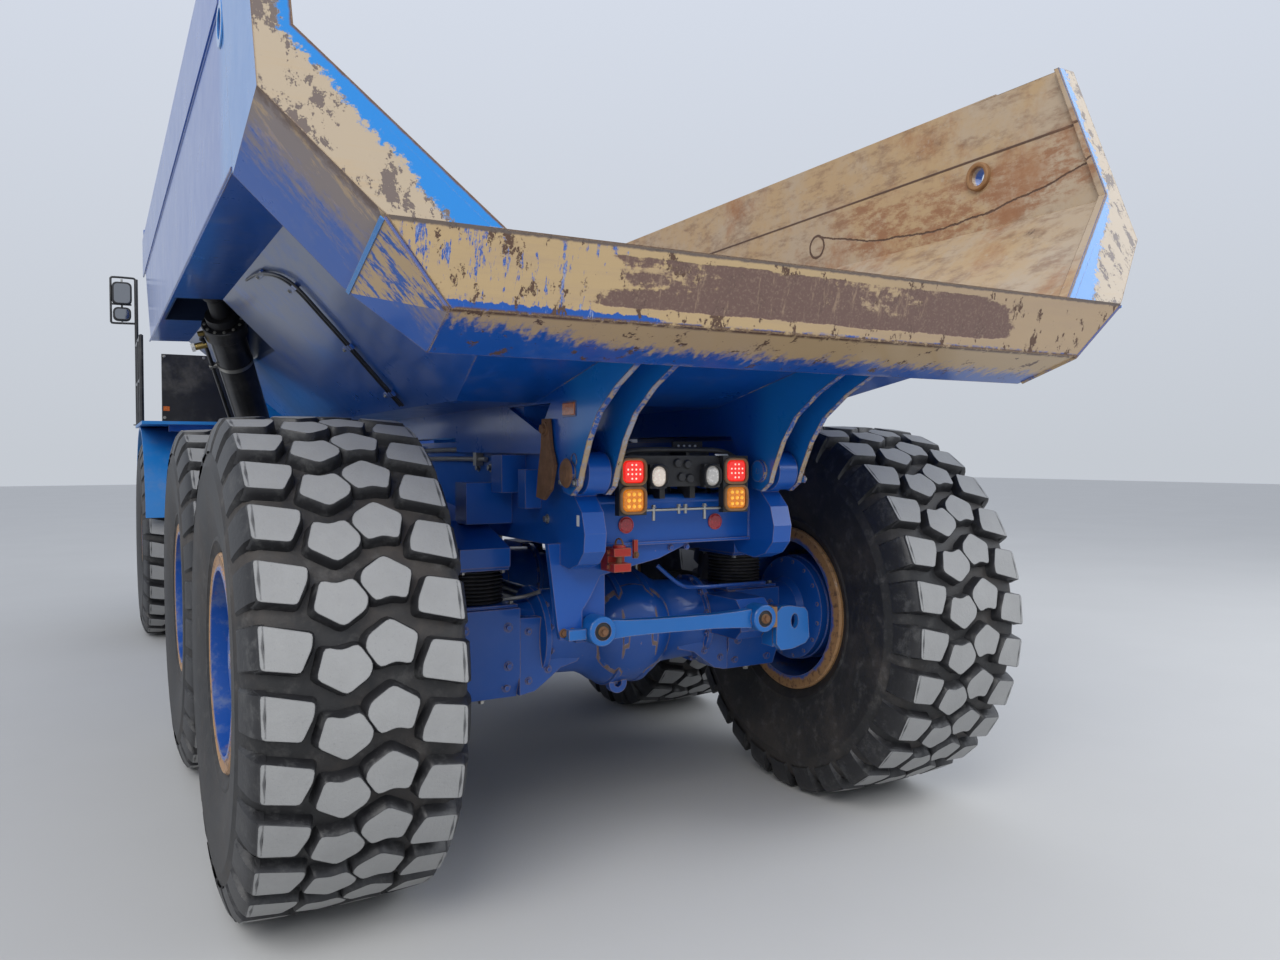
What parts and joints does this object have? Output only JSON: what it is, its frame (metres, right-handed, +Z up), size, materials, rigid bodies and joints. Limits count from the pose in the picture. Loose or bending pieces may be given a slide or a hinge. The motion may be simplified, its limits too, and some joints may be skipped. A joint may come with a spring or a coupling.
{
  "type": "articulated dump truck",
  "caption": "Articulated dump truck with a tipping bed, a steering and rolling frame joint, hoist cylinders, a cab door, a tilting hood and turning wheels, seen parked with its bed down.",
  "frame": {"origin": "on the ground under the middle of the truck's box", "axes": "+Y to the truck's front, +X to its right side, +Z up"},
  "size_m": [3.87, 10.9, 3.74],
  "materials": {
    "body_paint": "glossy, chipped and rusty at the tail",
    "frame_paint": "satin, dusty",
    "axle_paint": "satin, dusty",
    "blue_paint": "glossy",
    "rim_paint": "satin, rusty at the flange",
    "red_paint": "worn",
    "black_paint": "semi-gloss",
    "black_plastic": "matte",
    "cab_plastic": "matte",
    "chrome_rod": "polished",
    "exhaust_steel": "heat stained",
    "engine_iron": "cast",
    "block_rubber": "matte",
    "tyre": "dusty",
    "glass": "tinted",
    "red_lens": "ribbed",
    "amber_lens": "ribbed",
    "clear_lens": "clear"
  },
  "bodies": {
    "rear_frame": {"rear_frame": "frame_paint", "center_axle": "axle_paint", "rear_axle": "axle_paint", "equalizer_beams": "frame_paint", "suspension_blocks": "block_rubber", "axle_links": "blue_paint", "drive_shafts": "black_paint", "tail_lamp_bar": "black_plastic", "tail_lenses_red": "red_lens", "tail_lenses_amber": "amber_lens", "tail_lenses_clear": "clear_lens", "tow_hitch": "red_paint"},
    "hitch": {"hitch_head": "frame_paint"},
    "front": {"front_frame": "frame_paint", "front_axle": "axle_paint", "front_suspension": "chrome_rod", "front_drive_shaft": "black_paint", "engine_block": "engine_iron", "fenders": "blue_paint", "cab_shell": "blue_paint", "cab_glass": "glass", "cab_interior": "cab_plastic", "front_bumper": "black_paint", "side_tanks": "black_paint", "access_rails": "black_paint", "mud_guards": "black_paint", "ladders": "black_paint", "mirrors": "black_plastic", "headlamps": "clear_lens", "exhaust": "exhaust_steel"},
    "door": {"cab_door": "blue_paint", "door_glass": "glass"},
    "hood": {"hood": "blue_paint", "grille": "black_plastic"},
    "bed": {"dump_body": "body_paint"},
    "steer_barrel_left": {"steer_barrel_left": "black_paint"},
    "steer_rod_left": {"steer_rod_left": "chrome_rod"},
    "steer_barrel_right": {"steer_barrel_right": "black_paint"},
    "steer_rod_right": {"steer_rod_right": "chrome_rod"},
    "hoist_barrel_left": {"hoist_barrel_left": "black_paint"},
    "hoist_stage_left": {"hoist_stage_left": "chrome_rod"},
    "hoist_rod_left": {"hoist_rod_left": "chrome_rod"},
    "hoist_barrel_right": {"hoist_barrel_right": "black_paint"},
    "hoist_stage_right": {"hoist_stage_right": "chrome_rod"},
    "hoist_rod_right": {"hoist_rod_right": "chrome_rod"},
    "wheel_front_left": {"tyre_front_left": "tyre", "rim_front_left": "rim_paint"},
    "wheel_front_right": {"tyre_front_right": "tyre", "rim_front_right": "rim_paint"},
    "wheel_center_left": {"tyre_center_left": "tyre", "rim_center_left": "rim_paint"},
    "wheel_center_right": {"tyre_center_right": "tyre", "rim_center_right": "rim_paint"},
    "wheel_rear_left": {"tyre_rear_left": "tyre", "rim_rear_left": "rim_paint"},
    "wheel_rear_right": {"tyre_rear_right": "tyre", "rim_rear_right": "rim_paint"}
  },
  "joints": [
    {"name": "frame_roll", "type": "hinge", "parent": "rear_frame", "child": "hitch", "pos_m": [0, 0.36, 1.25], "axis": [0, -1, 0], "range_deg": [-15, 15]},
    {"name": "frame_steer", "type": "hinge", "parent": "hitch", "child": "front", "pos_m": [0, 1.26, 1.25], "axis": [0, 0, 1], "range_deg": [-45, 45]},
    {"name": "bed_tip", "type": "hinge", "parent": "rear_frame", "child": "bed", "pos_m": [0, -4.56, 1.65], "axis": [1, 0, 0], "range_deg": [0, 70]},
    {"name": "cab_door_swing", "type": "hinge", "parent": "front", "child": "door", "pos_m": [-0.822, 1.67, 2.5], "axis": [0, 0, 1], "range_deg": [0, 80]},
    {"name": "hood_tilt", "type": "hinge", "parent": "front", "child": "hood", "pos_m": [0, 5.17, 1.44], "axis": [-1, 0, 0], "range_deg": [0, 60]},
    {"name": "steer_cylinder_swing_left", "type": "hinge", "parent": "front", "child": "steer_barrel_left", "pos_m": [-0.54, 2.31, 1.25], "axis": [0, 0, 1], "range_deg": [-8, 8]},
    {"name": "steer_rod_slide_left", "type": "slide", "parent": "steer_barrel_left", "child": "steer_rod_left", "axis": [0.1096, -0.994, 0], "range_m": [-0.33, 0.33]},
    {"name": "steer_cylinder_swing_right", "type": "hinge", "parent": "front", "child": "steer_barrel_right", "pos_m": [0.54, 2.31, 1.25], "axis": [0, 0, 1], "range_deg": [-8, 8]},
    {"name": "steer_rod_slide_right", "type": "slide", "parent": "steer_barrel_right", "child": "steer_rod_right", "axis": [-0.1096, -0.994, 0], "range_m": [-0.33, 0.33]},
    {"name": "hoist_swing_left", "type": "hinge", "parent": "rear_frame", "child": "hoist_barrel_left", "pos_m": [-0.87, -0.48, 1.18], "axis": [0.2039, 0.7278, -0.6548], "range_deg": [0, 198]},
    {"name": "hoist_stage_slide_left", "type": "slide", "parent": "hoist_barrel_left", "child": "hoist_stage_left", "axis": [-0.2864, -0.691, 0.6637], "range_m": [0, 1.57]},
    {"name": "hoist_rod_slide_left", "type": "slide", "parent": "hoist_stage_left", "child": "hoist_rod_left", "axis": [-0.2864, -0.691, 0.6637], "range_m": [0, 1.57]},
    {"name": "hoist_swing_right", "type": "hinge", "parent": "rear_frame", "child": "hoist_barrel_right", "pos_m": [0.87, -0.48, 1.18], "axis": [0.2039, -0.7278, 0.6548], "range_deg": [0, 198]},
    {"name": "hoist_stage_slide_right", "type": "slide", "parent": "hoist_barrel_right", "child": "hoist_stage_right", "axis": [0.2864, -0.691, 0.6637], "range_m": [0, 1.57]},
    {"name": "hoist_rod_slide_right", "type": "slide", "parent": "hoist_stage_right", "child": "hoist_rod_right", "axis": [0.2864, -0.691, 0.6637], "range_m": [0, 1.57]},
    {"name": "wheel_spin_front_left", "type": "hinge", "parent": "front", "child": "wheel_front_left", "pos_m": [-1.345, 2.66, 0.935], "axis": [-1, 0, 0], "continuous": true},
    {"name": "wheel_spin_front_right", "type": "hinge", "parent": "front", "child": "wheel_front_right", "pos_m": [1.345, 2.66, 0.935], "axis": [-1, 0, 0], "continuous": true},
    {"name": "wheel_spin_center_left", "type": "hinge", "parent": "rear_frame", "child": "wheel_center_left", "pos_m": [-1.345, -1.93, 0.935], "axis": [-1, 0, 0], "continuous": true},
    {"name": "wheel_spin_center_right", "type": "hinge", "parent": "rear_frame", "child": "wheel_center_right", "pos_m": [1.345, -1.93, 0.935], "axis": [-1, 0, 0], "continuous": true},
    {"name": "wheel_spin_rear_left", "type": "hinge", "parent": "rear_frame", "child": "wheel_rear_left", "pos_m": [-1.345, -3.9, 0.935], "axis": [-1, 0, 0], "continuous": true},
    {"name": "wheel_spin_rear_right", "type": "hinge", "parent": "rear_frame", "child": "wheel_rear_right", "pos_m": [1.345, -3.9, 0.935], "axis": [-1, 0, 0], "continuous": true}
  ],
  "couplings": [
    {"joint": "steer_cylinder_swing_left", "follows": "frame_steer", "ratio": -0.14569},
    {"joint": "steer_rod_slide_left", "follows": "frame_steer", "m_per_rad": -0.40463},
    {"joint": "steer_cylinder_swing_right", "follows": "frame_steer", "ratio": -0.14569},
    {"joint": "steer_rod_slide_right", "follows": "frame_steer", "m_per_rad": 0.40463},
    {"joint": "hoist_swing_left", "follows": "bed_tip", "ratio": 2.8201},
    {"joint": "hoist_stage_slide_left", "follows": "bed_tip", "m_per_rad": 1.2827},
    {"joint": "hoist_rod_slide_left", "follows": "bed_tip", "m_per_rad": 1.2827},
    {"joint": "hoist_swing_right", "follows": "bed_tip", "ratio": 2.8201},
    {"joint": "hoist_stage_slide_right", "follows": "bed_tip", "m_per_rad": 1.2827},
    {"joint": "hoist_rod_slide_right", "follows": "bed_tip", "m_per_rad": 1.2827}
  ]
}
